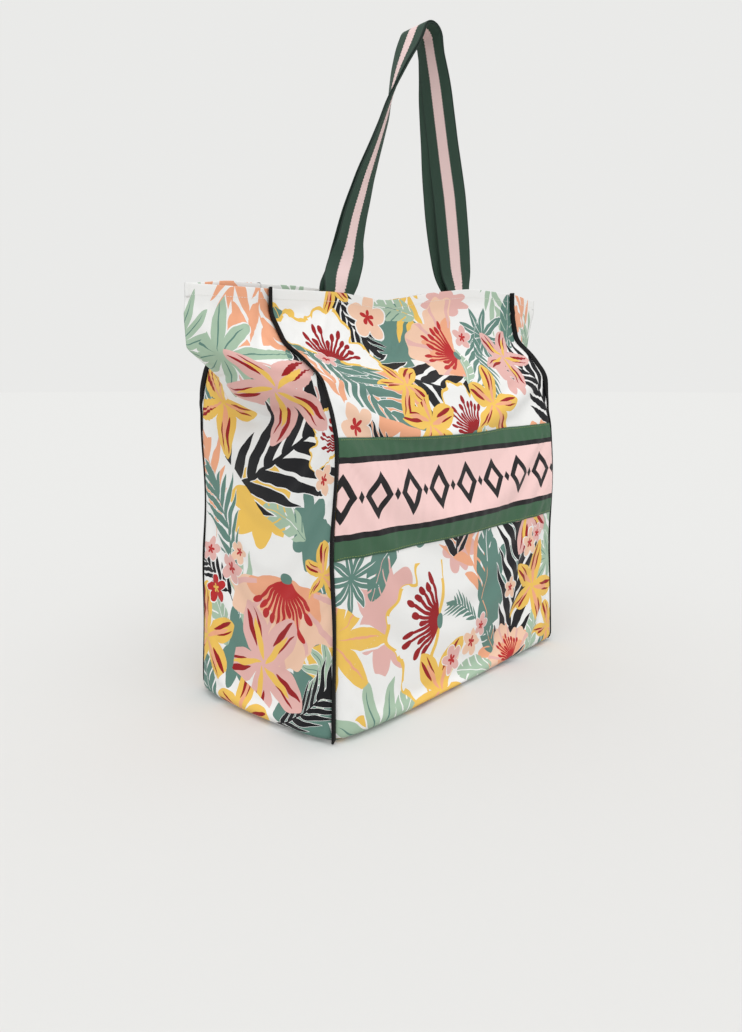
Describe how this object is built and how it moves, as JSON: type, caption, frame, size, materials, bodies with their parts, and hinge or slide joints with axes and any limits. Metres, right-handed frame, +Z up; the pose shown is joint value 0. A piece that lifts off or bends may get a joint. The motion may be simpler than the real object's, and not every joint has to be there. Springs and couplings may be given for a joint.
{
  "type": "foldable tote bag",
  "caption": "Foldable shopping tote in printed fabric with gusseted sides, a wide band across the front, webbing handles, bound seams and a zipped inner pocket.",
  "frame": {"origin": "middle of the base, on the surface that the bag stands on", "axes": "+Z up, front with the band faces -Y, +X to the right along the front"},
  "size_m": [0.6, 0.2132, 0.7531],
  "materials": {
    "printed_fabric": "satin polyester with an all-over tropical leaf and flower print",
    "band": "satin polyester strip in green, black and pink with a plain row of open diamonds",
    "binding": "black ribbed binding tape",
    "webbing": "ribbed polyester webbing, green with a pink centre stripe",
    "lining": "plain matt polyester",
    "zip_tape": "woven herringbone zip tape",
    "zip_teeth": "moulded plastic",
    "zip_metal": "nickel plate"
  },
  "bodies": {
    "bag": {"left_gusset": "printed_fabric", "right_gusset": "printed_fabric", "bottom_panel": "printed_fabric", "front_handle_ends": "webbing", "back_handle_ends": "webbing"},
    "front_side": {"front_panel": "printed_fabric", "front_band": "band", "front_left_binding": "binding", "front_right_binding": "binding"},
    "back_side": {"back_panel": "printed_fabric", "back_left_binding": "binding", "back_right_binding": "binding", "stow_pocket": "lining", "upper_zip_tape": "zip_tape", "lower_zip_tape": "zip_tape", "upper_zip_teeth": "zip_teeth", "lower_zip_teeth": "zip_teeth", "zip_stops": "zip_metal"},
    "front_handle": {"front_handle": "webbing"},
    "back_handle": {"back_handle": "webbing"},
    "zip_slider": {"zip_slider": "zip_metal"},
    "zip_puller": {"zip_puller": "zip_metal"}
  },
  "joints": [
    {"name": "front_fold", "type": "slide", "parent": "bag", "child": "front_side", "axis": [0, 1, 0], "range_m": [0, 0.09], "deforming": ["front_panel", "front_left_binding", "front_right_binding", "left_gusset", "right_gusset", "bottom_panel"]},
    {"name": "back_fold", "type": "slide", "parent": "bag", "child": "back_side", "axis": [0, -1, 0], "range_m": [0, 0.09], "deforming": ["back_panel", "back_left_binding", "back_right_binding"]},
    {"name": "front_handle_swing", "type": "hinge", "parent": "bag", "child": "front_handle", "pos_m": [-0.00114, -0.01791, 0.454], "axis": [0.995, -0.0995, 0], "range_deg": [0, 125]},
    {"name": "back_handle_swing", "type": "hinge", "parent": "bag", "child": "back_handle", "pos_m": [-0.00015, -0.00796, 0.454], "axis": [-0.995, 0.0995, 0], "range_deg": [0, 130]},
    {"name": "zip_slide", "type": "slide", "parent": "back_side", "child": "zip_slider", "axis": [-1, 0, 0], "range_m": [0, 0.141]},
    {"name": "puller_flip", "type": "hinge", "parent": "zip_slider", "child": "zip_puller", "pos_m": [0.0705, 0.088, 0.247], "axis": [0, 0, -1], "range_deg": [0, 175]}
  ],
  "couplings": [
    {"joint": "back_fold", "follows": "front_fold", "ratio": 1}
  ]
}
